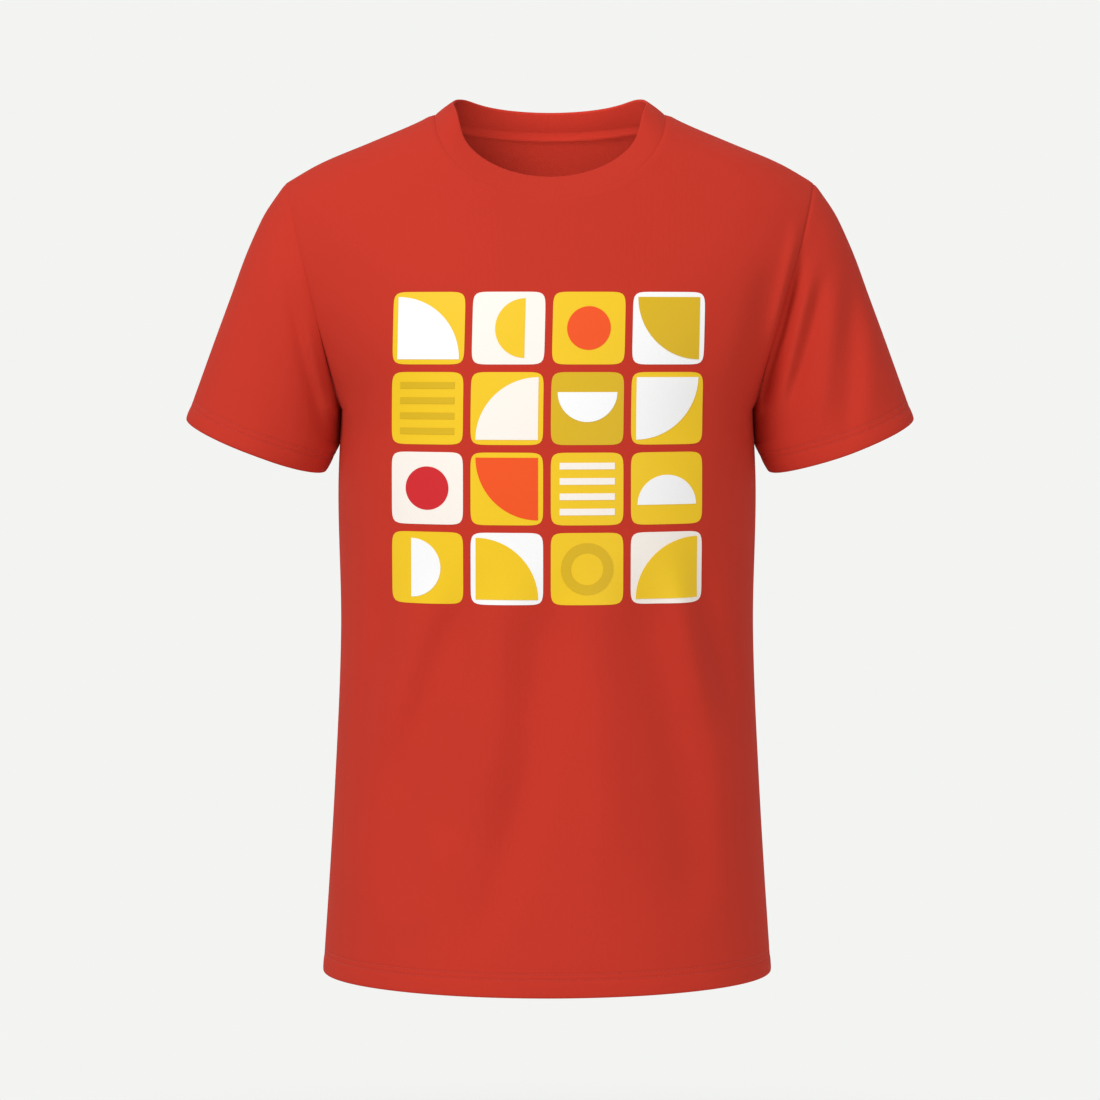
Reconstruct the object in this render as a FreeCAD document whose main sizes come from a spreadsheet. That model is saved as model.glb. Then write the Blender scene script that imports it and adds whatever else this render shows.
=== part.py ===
"""A short-sleeved crew-neck T-shirt, filled out as on an unseen wearer, built as the pieces it is sewn from.

The frame is +Z up, +X towards the wearer's left, -Y towards the front. The origin lies midway between
the two highest points of the shoulders, where the neck rib meets them and the shirt hangs from its wearer.
Lengths are in millimetres and angles in degrees.
"""
import FreeCAD, Part
import math
import os

Vector = FreeCAD.Vector

# The driving sizes, each with the alias that names its cell.
SIZES = [
    ("body_length", 712),
    ("hem_half_width", 184.5),
    ("hem_half_depth", 138),
    ("seat_half_width", 179.5),
    ("seat_half_depth", 134),
    ("hip_half_width", 174.5),
    ("hip_half_depth", 130),
    ("waist_half_width", 169),
    ("waist_half_depth", 126),
    ("chest_half_width", 170.5),
    ("chest_half_depth", 132),
    ("underarm_drop", 250),
    ("underarm_half_width", 168),
    ("underarm_half_depth", 130),
    ("shoulder_drop", 66),
    ("shoulder_half_width", 215),
    ("shoulder_half_depth", 84),
    ("high_point_half_width", 76),
    ("high_point_half_depth", 56),
    ("armhole_half_depth", 58),
    ("neck_half_width", 94),
    ("neck_side_drop", 10),
    ("neck_front_depth", 71),
    ("neck_back_depth", 9.6),
    ("sleeve_hem_out", 240.5),
    ("sleeve_hem_drop", 279.5),
    ("sleeve_hem_lean_angle", 21),
    ("sleeve_hem_turn_angle", 6),
    ("sleeve_hem_half_width", 61),
    ("sleeve_hem_half_depth", 59),
    ("fabric_thickness", 1),
    ("layer_gap", 0.1),
    ("hem_height", 20),
    ("seam_width", 7),
    ("seam_thickness", 1.6),
    ("tape_width", 8),
    ("tape_thickness", 1.2),
    ("tape_drop", 1.5),
    ("rib_height", 22),
    ("rib_thickness", 2),
    ("overrun", 40),
]

# Shares of the shoulder's slope at which the form has a section: of its drop, and of its width there.
SLOPE_DROP_SHARES = (0, 0.25, 0.5, 0.75, 1)
SLOPE_WIDTH_SHARES = (0, 0.225, 0.505, 0.79, 1)
# Shares of the armhole's height, from the shoulder point down to the underarm, and of the depth gained there.
ARMHOLE_DROP_SHARES = (0.1, 0.27, 0.46, 0.66, 0.86)
ARMHOLE_DEPTH_SHARES = (0.16, 0.4, 0.62, 0.81, 0.94)
# Shares of the way from the underarm down to the hem at which the trunk is measured.
TRUNK_DROP_SHARES = {"chest": 0.11, "waist": 0.39, "hip": 0.67, "seat": 0.845}
# Shares of the way from the armhole to the sleeve's hem band: across and down its outer edge, down its
# inner edge, and of the way from the armhole's depth to the hem's.
SLEEVE_OUT_SHARES = (0, 0.12, 0.24, 0.33, 0.43, 0.6, 0.78, 1)
SLEEVE_DOWN_SHARES = (0, 0.07, 0.15, 0.23, 0.33, 0.53, 0.74, 1)
SLEEVE_INNER_SHARES = (0, 0.12, 0.25, 0.35, 0.45, 0.62, 0.79, 1)
SLEEVE_DEPTH_SHARES = (0, 0.25, 0.5, 0.65, 0.8, 0.9, 1, 1)
SLEEVE_TURN_SHARES = (0, 0.05, 0.1, 0.18, 0.25, 0.45, 0.7, 1)
# The rib leans inwards from upright by this many degrees at the front, the sides and the back.
RIB_LEAN_FRONT = 38
RIB_LEAN_SIDE = 50
RIB_LEAN_BACK = 55
RIB_FRONT_STEPS = 8
RIB_BACK_STEPS = 6

doc = FreeCAD.newDocument("TShirt")
sheet = doc.addObject("Spreadsheet::Sheet", "Sizes")
for row, (alias, value) in enumerate(SIZES, start=1):
    sheet.set(f"A{row}", alias)
    sheet.set(f"B{row}", str(value))
    sheet.setAlias(f"B{row}", alias)
doc.recompute()


def size(alias):
    """The number in the sheet's cell of that alias."""
    return float(sheet.get(alias))


def between(first, last, share):
    """An expression for the value at that share of the way from one size to another."""
    return f"(Sizes.{first} + {share} * (Sizes.{last} - Sizes.{first}))"


def bind(item, **expressions):
    """Ties properties of an object to expressions on the sheet. A double underscore stands for a dot."""
    for path, expression in expressions.items():
        item.setExpression(path.replace("__", "."), expression)
    return item


# Forms: solids through elliptical sections, from which the shells are cut.

def torso_levels():
    """Expressions for the drop, half width and half depth of each section of the torso, from the top down."""
    levels = []
    for drop_share, width_share in zip(SLOPE_DROP_SHARES, SLOPE_WIDTH_SHARES):
        levels.append((f"{drop_share} * Sizes.shoulder_drop",
                       between("high_point_half_width", "shoulder_half_width", width_share),
                       between("high_point_half_depth", "shoulder_half_depth", drop_share)))
    for drop_share, depth_share in zip(ARMHOLE_DROP_SHARES, ARMHOLE_DEPTH_SHARES):
        # The half width is the one that makes the form meet the armhole's plane in an ellipse.
        plane = between("shoulder_half_width", "underarm_half_width", drop_share)
        depth = between("shoulder_half_depth", "underarm_half_depth", depth_share)
        opening = f"Sizes.armhole_half_depth * {math.sqrt(1 - (2 * drop_share - 1) ** 2)}"
        levels.append((between("shoulder_drop", "underarm_drop", drop_share),
                       f"{plane} / sqrt(1 - ({opening} / {depth}) ^ 2)",
                       depth))
    levels.append(("Sizes.underarm_drop", "Sizes.underarm_half_width", "Sizes.underarm_half_depth"))
    for name, drop_share in TRUNK_DROP_SHARES.items():
        levels.append((between("underarm_drop", "body_length", drop_share),
                       f"Sizes.{name}_half_width", f"Sizes.{name}_half_depth"))
    levels.append(("Sizes.body_length", "Sizes.hem_half_width", "Sizes.hem_half_depth"))
    return levels


def ellipse(name, half_width, half_depth, placement=None):
    """An ellipse whose two radii follow expressions."""
    made = doc.addObject("Part::Ellipse", name)
    bind(made, MajorRadius=half_width, MinorRadius=half_depth)
    if placement is not None:
        made.Placement = placement
    return made


def loft(name, sections):
    """A solid through sections, straight from each to the next."""
    made = doc.addObject("Part::Loft", name)
    made.Sections = sections
    made.Solid = True
    made.Ruled = True
    return made


def cut(name, base, tool):
    made = doc.addObject("Part::Cut", name)
    made.Base = base
    made.Tool = tool
    return made


def common(name, base, tool):
    made = doc.addObject("Part::Common", name)
    made.Base = base
    made.Tool = tool
    return made


def fuse(name, base, tool):
    made = doc.addObject("Part::Fuse", name)
    made.Base = base
    made.Tool = tool
    return made


LEVELS = torso_levels()
outer_sections = []
for number, (drop, half_width, half_depth) in enumerate(LEVELS):
    section = ellipse(f"TorsoSection{number}", half_width, half_depth)
    outer_sections.append(bind(section, Placement__Base__z=f"-({drop})"))
doc.recompute()

# The torso's drops and radii as numbers, for the rib and for how much a wall's section shrinks on a slope.
DROPS = [-section.Placement.Base.z for section in outer_sections]
HALF_WIDTHS = [float(section.MajorRadius) for section in outer_sections]
HALF_DEPTHS = [float(section.MinorRadius) for section in outer_sections]


def slope_factor(radii, number):
    """How much further apart two parallel walls are along a section than square to the wall."""
    above = max(number - 1, 0)
    below = min(number + 1, len(DROPS) - 1)
    slope = (radii[below] - radii[above]) / (DROPS[below] - DROPS[above])
    return math.sqrt(1 + slope * slope)


def inner_torso_form(name, depth):
    """The torso's form drawn in by a depth, an expression, measured square to its surface."""
    sections = []
    for number, (drop, half_width, half_depth) in enumerate(LEVELS):
        across = f"{half_width} - ({depth}) * {slope_factor(HALF_WIDTHS, number)}"
        along = f"{half_depth} - ({depth}) * {slope_factor(HALF_DEPTHS, number)}"
        section = ellipse(f"{name}Section{number}", across, along)
        sections.append(bind(section, Placement__Base__z=f"-({drop})"))
    return loft(name, sections)


torso_form = loft("TorsoForm", outer_sections)
lining_depth = "Sizes.fabric_thickness + Sizes.layer_gap"
torso_inside = inner_torso_form("TorsoInside", "Sizes.fabric_thickness")
lining_form = inner_torso_form("LiningForm", lining_depth)
seam_inside = inner_torso_form("SeamInside", f"{lining_depth} + Sizes.seam_thickness")
tape_inside = inner_torso_form("TapeInside", f"{lining_depth} + Sizes.tape_thickness")
hem_inside = inner_torso_form("HemInside", f"{lining_depth} + Sizes.fabric_thickness")

torso_shell = cut("TorsoShell", torso_form, torso_inside)
seam_shell = cut("SeamShell", lining_form, seam_inside)
tape_shell = cut("TapeShell", lining_form, tape_inside)
hem_shell = cut("HemShell", lining_form, hem_inside)


# Cutting tools.

REACH = "(Sizes.shoulder_half_width + Sizes.sleeve_hem_out)"


def box(name, low, high):
    """A box between two corners, each three expressions."""
    made = doc.addObject("Part::Box", name)
    bind(made, Length=f"{high[0]} - ({low[0]})", Width=f"{high[1]} - ({low[1]})", Height=f"{high[2]} - ({low[2]})",
         Placement__Base__x=low[0], Placement__Base__y=low[1], Placement__Base__z=low[2])
    return made


def front_neck_tool(name):
    """The prism that opens the front neckline: a half ellipse seen from the front, open upwards."""
    curve = ellipse(f"{name}Curve", "Sizes.neck_half_width", "Sizes.neck_front_depth")
    curve.Placement.Rotation = FreeCAD.Rotation(Vector(1, 0, 0), 90)
    bind(curve, Placement__Base__z="-Sizes.neck_side_drop")
    prism = doc.addObject("Part::Extrusion", f"{name}Prism")
    prism.Base = curve
    prism.DirMode = "Custom"
    prism.Dir = Vector(0, -1, 0)
    prism.Solid = True
    bind(prism, LengthFwd=REACH)
    top = box(f"{name}Top", ("-Sizes.neck_half_width", f"-{REACH}", "-Sizes.neck_side_drop"),
              ("Sizes.neck_half_width", "0", "Sizes.overrun"))
    return fuse(name, prism, top)


def ridge_at_neck():
    """An expression for the drop of the shoulder's ridge where the neckline crosses it."""
    first, second = SLOPE_WIDTH_SHARES[:2]
    width = between("high_point_half_width", "shoulder_half_width", second)
    way = f"(Sizes.neck_half_width - Sizes.high_point_half_width) / ({width} - Sizes.high_point_half_width)"
    return f"({way} * {SLOPE_DROP_SHARES[1]} * Sizes.shoulder_drop)"


def back_neck_tool(name, wider="0"):
    """The round block that opens the back neckline: an arc seen from behind, through the two points where the
    neckline crosses the shoulders. wider moves the arc outwards."""
    made = doc.addObject("Part::Cylinder", name)
    made.Placement.Rotation = FreeCAD.Rotation(Vector(1, 0, 0), -90)
    radius = "((Sizes.neck_half_width ^ 2 + Sizes.neck_back_depth ^ 2) / (2 * Sizes.neck_back_depth))"
    return bind(made, Radius=f"{radius} + {wider}", Height=REACH,
                Placement__Base__z=f"{radius} - Sizes.neck_back_depth - {ridge_at_neck()}")


def armhole_lean():
    """The angle of the armhole's plane from upright."""
    return math.degrees(math.atan2(size("shoulder_half_width") - size("underarm_half_width"),
                                   size("underarm_drop") - size("shoulder_drop")))


def armhole_tool(name, inset="0"):
    """The block beyond the right armhole's plane, above the underarm. inset moves its plane inwards."""
    made = doc.addObject("Part::Box", name)
    bind(made, Length=REACH, Width=f"2 * {REACH}", Height="2 * Sizes.underarm_drop")
    made.Placement.Rotation = FreeCAD.Rotation(Vector(0, 0, 1), 180) * FreeCAD.Rotation(Vector(0, 1, 0), armhole_lean())
    return bind(made, Placement__Base__x=f"-(Sizes.underarm_half_width - ({inset}))",
                Placement__Base__y=REACH, Placement__Base__z="-Sizes.underarm_drop")


def mirrored(name, source, normal=Vector(1, 0, 0)):
    """The twin of an object across the plane through the origin with that normal."""
    made = doc.addObject("Part::Mirroring", name)
    made.Source = source
    made.Normal = normal
    return made


# The sewn pieces.

def panel(name, side, neck):
    """The front or back panel, for side -1 or 1: a quarter of the torso's shell, less its share of the neckline
    and its armhole, and its twin across the middle."""
    near, far = sorted((0, side))
    space = box(f"{name}Space", (f"-{REACH}", f"{near} * {REACH}", "-Sizes.body_length - Sizes.overrun"),
                ("0", f"{far} * {REACH}", "Sizes.overrun"))
    quarter = common(f"{name}Quarter", torso_shell, space)
    opened = cut(f"{name}Armed", cut(f"{name}Necked", quarter, neck), armhole_tool(f"{name}Armhole"))
    made = fuse(name, opened, mirrored(f"{name}Twin", opened))
    made.Label = name
    return made


pieces = [panel("front_panel", -1, front_neck_tool("FrontNeck")),
          panel("back_panel", 1, back_neck_tool("BackNeck"))]


def sleeve_frame():
    """The points that a sleeve is hung between, in the plane y = 0, as (out, up) vectors, on the wearer's left:
    the shoulder point, the underarm, and the outer and inner edges of the hem and of the top of its band."""
    lean = math.radians(size("sleeve_hem_lean_angle"))
    across = Vector(math.cos(lean), 0, math.sin(lean)) * size("sleeve_hem_half_width")
    along = Vector(math.sin(lean), 0, -math.cos(lean))
    middle = Vector(size("sleeve_hem_out"), 0, -size("sleeve_hem_drop"))
    band = middle - along * size("hem_height")
    return {"shoulder": Vector(size("shoulder_half_width"), 0, -size("shoulder_drop")),
            "underarm": Vector(size("underarm_half_width"), 0, -size("underarm_drop")),
            "band_outer": band + across, "band_inner": band - across,
            "hem_outer": middle + across, "hem_inner": middle - across}


def sleeve_stations():
    """For each section of a sleeve, its outer point, its inner point, the share of the way from the armhole's
    depth to the hem's, and the share of the hem's turn."""
    at = sleeve_frame()
    fall = at["band_outer"] - at["shoulder"]
    rise = at["band_inner"] - at["underarm"]
    stations = []
    for out, down, inner, depth, turn in zip(SLEEVE_OUT_SHARES, SLEEVE_DOWN_SHARES, SLEEVE_INNER_SHARES,
                                             SLEEVE_DEPTH_SHARES, SLEEVE_TURN_SHARES):
        stations.append((at["shoulder"] + Vector(fall.x * out, 0, fall.z * down),
                         at["underarm"] + rise * inner, depth, turn))
    stations.append((at["hem_outer"], at["hem_inner"], 1, 1))
    return stations


def sleeve_placement(outer, inner, turn):
    """Where a section of the right sleeve stands: its long axis from the outer to the inner point."""
    middle = (outer + inner) * 0.5
    rise = math.degrees(math.atan2(outer.z - inner.z, outer.x - inner.x))
    lay = FreeCAD.Rotation(Vector(0, 1, 0), rise) * FreeCAD.Rotation(Vector(1, 0, 0), turn)
    return FreeCAD.Placement(Vector(-middle.x, 0, middle.z), lay)


def sleeve_form(name, depth, first=0, last=None):
    """The right sleeve's form through its sections, or some of them, drawn in by a depth, an expression."""
    sections = []
    for number, (outer, inner, depth_share, turn_share) in enumerate(sleeve_stations()[first:last]):
        half_width = f"{(outer - inner).Length / 2} - ({depth})"
        half_depth = f"{between('armhole_half_depth', 'sleeve_hem_half_depth', depth_share)} - ({depth})"
        place = sleeve_placement(outer, inner, turn_share * size("sleeve_hem_turn_angle"))
        sections.append(ellipse(f"{name}Section{number}", half_width, half_depth, place))
    return loft(name, sections)


BAND_STATION = len(SLEEVE_OUT_SHARES) - 1


def right_sleeve():
    made = cut("Sleeve", sleeve_form("SleeveForm", "0"), sleeve_form("SleeveInside", "Sizes.fabric_thickness"))
    made.Label = "right_sleeve"
    return made


def right_sleeve_hem():
    """The layer turned up inside the sleeve's edge."""
    inner_depth = f"{lining_depth} + Sizes.fabric_thickness"
    made = cut("SleeveHem", sleeve_form("SleeveHemForm", lining_depth, BAND_STATION),
               sleeve_form("SleeveHemInside", inner_depth, BAND_STATION))
    made.Label = "right_sleeve_hem"
    return made


def right_armhole_seam():
    """The overlocked edge that joins the sleeve to the body: a strip round the armhole, folded into the sleeve."""
    tube = cut("ArmholeSeamTube", sleeve_form("ArmholeSeamForm", lining_depth, 0, 3),
               sleeve_form("ArmholeSeamInside", f"{lining_depth} + Sizes.seam_thickness", 0, 3))
    made = cut("ArmholeSeam", tube, armhole_tool("ArmholeSeamEnd", "-Sizes.seam_width"))
    made.Label = "right_armhole_seam"
    return made


def body_hem():
    """The layer turned up inside the bottom edge: a quarter of it and its twins."""
    space = box("HemSpace", (f"-{REACH}", f"-{REACH}", "-Sizes.body_length - Sizes.overrun"),
                ("0", "0", "-Sizes.body_length + Sizes.hem_height"))
    quarter = common("HemQuarter", hem_shell, space)
    half = fuse("HemHalf", quarter, mirrored("HemQuarterTwin", quarter))
    made = fuse("BodyHem", half, mirrored("HemHalfTwin", half, Vector(0, 1, 0)))
    made.Label = "body_hem"
    return made


def right_side_seam():
    """The overlocked edge of the side seam, folded back against the back panel."""
    space = box("SideSeamSpace", (f"-{REACH}", "0", "-Sizes.body_length + Sizes.hem_height + Sizes.layer_gap"),
                ("0", "Sizes.seam_width", "-Sizes.underarm_drop - Sizes.seam_width"))
    made = common("SideSeam", seam_shell, space)
    made.Label = "right_side_seam"
    return made


def right_shoulder_seam():
    """The overlocked edge of the shoulder seam, folded back against the back panel."""
    space = box("ShoulderSeamSpace", (f"-{REACH}", "0", "-Sizes.shoulder_drop"),
                ("0", "Sizes.seam_width", "Sizes.overrun"))
    strip = common("ShoulderSeamStrip", seam_shell, space)
    rim = back_neck_tool("ShoulderSeamRim", "Sizes.tape_width + Sizes.layer_gap")
    made = cut("ShoulderSeam", cut("ShoulderSeamOpened", strip, rim),
               armhole_tool("ShoulderSeamEnd", "Sizes.seam_thickness"))
    made.Label = "right_shoulder_seam"
    return made


def neck_tape():
    """The tape that covers the collar seam inside the back neck, from shoulder to shoulder."""
    band = common("TapeBand", tape_shell, back_neck_tool("TapeRim", "Sizes.tape_width"))
    made = cut("NeckTape", band, back_neck_tool("TapeNeck", "Sizes.tape_drop"))
    made.Label = "neck_tape"
    return made


for right in (right_sleeve(), right_sleeve_hem(), right_side_seam(), right_shoulder_seam(), right_armhole_seam()):
    left = mirrored(f"{right.Name}Twin", right)
    left.Label = right.Label.replace("right_", "left_")
    pieces += [right, left]
pieces += [body_hem(), neck_tape()]


# The neck rib: a doubled band of ribbed knit that stands on the neckline.

def torso_radii(drop):
    """The torso's half width and half depth at a drop below the high point."""
    for number in range(len(DROPS) - 1):
        if drop <= DROPS[number + 1]:
            share = (drop - DROPS[number]) / (DROPS[number + 1] - DROPS[number])
            wide = HALF_WIDTHS[number] + share * (HALF_WIDTHS[number + 1] - HALF_WIDTHS[number])
            deep = HALF_DEPTHS[number] + share * (HALF_DEPTHS[number + 1] - HALF_DEPTHS[number])
            return wide, deep
    return HALF_WIDTHS[-1], HALF_DEPTHS[-1]


def depth_at(x, drop):
    """How far the torso's surface stands in front of or behind the side seams' plane."""
    wide, deep = torso_radii(drop)
    return deep * math.sqrt(max(1 - (x / wide) ** 2, 0))


def ridge_drop(x):
    """The drop of the shoulder's ridge at a distance from the middle."""
    high, low = 0, size("shoulder_drop")
    while low - high > size("layer_gap") / 100:
        middle = (high + low) / 2
        if torso_radii(middle)[0] < x:
            high = middle
        else:
            low = middle
    return low


def neckline():
    """Points round the neckline on the torso's surface, from the front centre towards the wearer's left."""
    half_width = size("neck_half_width")
    side_drop = size("neck_side_drop")
    back_depth = size("neck_back_depth")
    ridge = ridge_drop(half_width)
    radius = (half_width ** 2 + back_depth ** 2) / (2 * back_depth)
    left = []
    for step in range(RIB_FRONT_STEPS + 1):
        turn = math.radians(90 * step / RIB_FRONT_STEPS)
        x = half_width * math.sin(turn)
        drop = side_drop + size("neck_front_depth") * math.cos(turn)
        left.append(Vector(x, -depth_at(x, drop), -drop))
    left.append(Vector(half_width, 0, -ridge))
    for step in reversed(range(RIB_BACK_STEPS)):
        turn = math.radians(90 * step / RIB_BACK_STEPS)
        x = half_width * math.sin(turn)
        drop = ridge + math.sqrt(radius ** 2 - x ** 2) - (radius - back_depth)
        left.append(Vector(x, depth_at(x, drop), -drop))
    return left + [Vector(-point.x, point.y, point.z) for point in reversed(left[1:-1])]


def rib_profile(point, along):
    """The rib's section at a point of the neckline: a flat band whose folded edge has its corners taken off."""
    inwards = Vector(-along.y, along.x, 0).normalize()
    lean_end = RIB_LEAN_FRONT if inwards.y > 0 else RIB_LEAN_BACK
    lean = math.radians(RIB_LEAN_SIDE + (lean_end - RIB_LEAN_SIDE) * inwards.y ** 2)
    up = (inwards * math.sin(lean) + Vector(0, 0, math.cos(lean))).normalize()
    under = up.cross(along).normalize()
    if under.dot(inwards) < 0:
        under = under * -1
    thick = size("rib_thickness")
    foot = point + up * size("layer_gap")
    head = point + up * size("rib_height")
    fold = up * (thick / 3)
    corners = [foot, head - fold, head + under * (thick / 3), head + under * (2 * thick / 3),
               head + under * thick - fold, foot + under * thick]
    return Part.makePolygon(corners + [foot])


def neck_rib():
    points = neckline()
    profiles = []
    for number, point in enumerate(points):
        ahead = points[(number + 1) % len(points)]
        behind = points[number - 1]
        profiles.append(rib_profile(point, (ahead - behind).normalize()))
    made = doc.addObject("Part::Feature", "NeckRib")
    made.Shape = Part.makeLoft(profiles, True, True, True)
    made.Label = "neck_rib"
    return made


pieces.append(neck_rib())
doc.recompute()

# Every object has to be sound before anything is written.
for item in doc.Objects:
    if "Invalid" in item.State or "Error" in item.State:
        raise RuntimeError(f"{item.Name} did not rebuild: {item.State}")
os.makedirs("parts", exist_ok=True)
for piece in pieces:
    if piece.Shape.isNull() or not piece.Shape.isValid():
        raise RuntimeError(f"{piece.Label} has no sound shape")
    piece.Shape.exportStep(f"parts/{piece.Label}.step")
    print(f"{piece.Label}: {len(piece.Shape.Solids)} solid(s), {piece.Shape.Volume:.0f} mm3")
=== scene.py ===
# %% [markdown]
# # A crew-neck T-shirt, filled out as on an unseen wearer
#
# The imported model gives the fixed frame: +Z up, +X towards the wearer's left, -Y towards the front, metres.
# Its solids are plain shells. Each is replaced here by cloth: the same form, worked out as surfaces with
# numpy, then given folds, seams, turned hems, stitches and knit.

# %% The frame
import math

import bpy
import numpy as np
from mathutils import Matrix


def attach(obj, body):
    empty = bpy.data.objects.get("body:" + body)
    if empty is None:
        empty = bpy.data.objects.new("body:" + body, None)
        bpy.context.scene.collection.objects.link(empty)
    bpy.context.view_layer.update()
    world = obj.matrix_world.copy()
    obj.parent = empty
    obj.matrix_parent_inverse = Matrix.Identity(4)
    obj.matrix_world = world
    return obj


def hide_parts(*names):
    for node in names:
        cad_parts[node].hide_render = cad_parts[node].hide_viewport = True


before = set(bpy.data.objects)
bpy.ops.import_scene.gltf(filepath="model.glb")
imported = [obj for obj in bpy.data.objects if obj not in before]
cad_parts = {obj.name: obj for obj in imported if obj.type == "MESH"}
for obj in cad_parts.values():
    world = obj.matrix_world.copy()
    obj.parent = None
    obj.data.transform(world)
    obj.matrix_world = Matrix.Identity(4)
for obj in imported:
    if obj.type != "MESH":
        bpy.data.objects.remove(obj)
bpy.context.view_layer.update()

MM = 0.001

# %% [markdown]
# ## Smooth curves through a few measures
#
# A pattern cutter notes a handful of widths down the body and draws one fair curve through them. A spline
# object could do that, but a cubic between each two measures, with slopes taken from their neighbours, works
# on whole arrays at once and can be asked for any height.

# %% A fair curve


def fair(at, xs, ys):
    """The curve through the points (xs, ys): between two of them the cubic that has, at each end, the slope
    of the chord through that point's neighbours. Outside the points it keeps the last value."""
    xs, ys = np.asarray(xs, float), np.asarray(ys, float)
    slopes = np.gradient(ys, xs)
    first = np.clip(np.searchsorted(xs, at) - 1, 0, len(xs) - 2)
    width = xs[first + 1] - xs[first]
    way = np.clip((at - xs[first]) / width, 0, 1)
    rise = (ys[first + 1] - ys[first]) * way ** 2 * (3 - 2 * way)
    start = width * slopes[first] * way * (1 - way) ** 2
    end = width * slopes[first + 1] * way ** 2 * (1 - way)
    return ys[first] + rise + start - end


def ease(way):
    """0 before 0, 1 after 1, and a smooth rise between them."""
    way = np.clip(way, 0, 1)
    return way * way * (3 - 2 * way)


def ramp(value, low, high):
    """The same for a value that goes from low to high."""
    return ease((value - low) / (high - low))


def bell(distance, width):
    """1 at no distance, falling off smoothly to nearly 0 at two widths."""
    return np.exp(-(distance / width) ** 2)


def unit(vectors):
    return vectors / np.linalg.norm(vectors, axis=-1, keepdims=True)


def together(*arrays):
    """Arrays of coordinates as one array of places."""
    return np.stack(np.broadcast_arrays(*arrays), -1)


def distances(line):
    """How far each point of a line is along it."""
    return np.concatenate([[0], np.cumsum(np.linalg.norm(np.diff(line, axis=0), axis=1))])

# %% [markdown]
# ## The body of the shirt
#
# On a wearer the body is a tube, narrow round the neck, spreading along the shoulders and hanging almost
# straight from the underarm. Each level of it is an ellipse, so a point is given by its turn round the body
# and its drop below the highest point of the shoulders. Beside the armholes the half width is the one at
# which the ellipse meets the armhole's own tilted ellipse, so that the sleeve joins it exactly.

# %% The body's form
SHOULDER_DROP, SHOULDER_HALF_WIDTH = 66 * MM, 215 * MM
UNDERARM_DROP, UNDERARM_HALF_WIDTH = 250 * MM, 168 * MM
ARMHOLE_HALF_DEPTH = 58 * MM
BODY_LENGTH = 712 * MM
# The half widths along the shoulders and down the trunk, and the half depths, each after its drop.
SLOPE_WIDTHS = np.array([(0, 76), (16.5, 107.3), (33, 146.2), (49.5, 185.8), (66, 215)]) * MM
TRUNK_WIDTHS = np.array([
    (250, 168), (300.8, 170.5), (430.2, 169), (559.5, 174.5), (640.4, 179.5), (712, 184.5),
]) * MM
DEPTHS = np.array([
    (0, 56), (16.5, 63), (33, 70), (49.5, 77), (66, 84), (84.4, 91.4), (115.7, 102.4), (150.6, 112.5),
    (187.4, 121.3), (224.2, 127.2), (250, 130), (300.8, 132), (430.2, 126), (559.5, 130), (640.4, 134),
    (712, 138),
]) * MM


def armhole_share(drop):
    """The share of the armhole's height at a drop: 0 at the shoulder point, 1 at the underarm."""
    return (drop - SHOULDER_DROP) / (UNDERARM_DROP - SHOULDER_DROP)


def armhole_out(drop):
    """How far the armhole's plane is from the middle at a drop."""
    return SHOULDER_HALF_WIDTH + (UNDERARM_HALF_WIDTH - SHOULDER_HALF_WIDTH) * armhole_share(drop)


def half_width(drop):
    """The body's half width: the fair curve above and below the armhole, and beside it the plane's distance
    divided by the square root of 1 less the square of the armhole's half depth there over the body's."""
    share = np.clip(armhole_share(drop), 0, 1)
    opening = ARMHOLE_HALF_DEPTH ** 2 * 4 * share * (1 - share)
    beside = armhole_out(drop) / np.sqrt(1 - opening / half_depth(drop) ** 2)
    plain = np.where(drop <= SHOULDER_DROP, fair(drop, *SLOPE_WIDTHS.T), fair(drop, *TRUNK_WIDTHS.T))
    return np.where((share > 0) & (share < 1), beside, plain)


def half_depth(drop):
    return fair(drop, *DEPTHS.T)


def body(turn, drop):
    """A point of the body: half width times the sine of the turn across, half depth times its cosine forward.
    The turn is 0 at the front's middle and a quarter turn at the wearer's left."""
    return together(half_width(drop) * np.sin(turn), -half_depth(drop) * np.cos(turn), -drop)


def turn_at(x, drop):
    """The turn of the front's point that is x from the middle: its sine is x over the half width, or 1 where
    the body is narrower than x."""
    return np.arcsin(np.clip(x / half_width(drop), -1, 1))


print(f"the body is {2 * half_width(UNDERARM_DROP) / MM:.0f} mm wide at the underarms")

# %% [markdown]
# ## The sleeves
#
# A sleeve starts as the armhole's tilted ellipse and ends as the ellipse of its hem. Its outer edge is long
# and rounds over the shoulder, and its inner edge is short. The ellipses between are placed by fair curves
# through a few stations, and they turn a little so that the front of the hem hangs lower.

# %% The sleeve's form
SHOULDER_POINT = np.array([SHOULDER_HALF_WIDTH, -SHOULDER_DROP])
UNDERARM_POINT = np.array([UNDERARM_HALF_WIDTH, -UNDERARM_DROP])
HEM_HEIGHT = 20 * MM
SLEEVE_LEAN = math.radians(21)
SLEEVE_TURN = math.radians(6)
SLEEVE_GAIN = 1 * MM
SLEEVE_HALF_WIDTH = 61 * MM
sleeve_middle = np.array([240.5, -279.5]) * MM
sleeve_across = np.array([math.cos(SLEEVE_LEAN), math.sin(SLEEVE_LEAN)]) * SLEEVE_HALF_WIDTH
sleeve_along = np.array([math.sin(SLEEVE_LEAN), -math.cos(SLEEVE_LEAN)]) * HEM_HEIGHT
hem_outer, hem_inner = sleeve_middle + sleeve_across, sleeve_middle - sleeve_across
to_outer, to_inner = hem_outer - sleeve_along - SHOULDER_POINT, hem_inner - sleeve_along - UNDERARM_POINT
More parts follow.
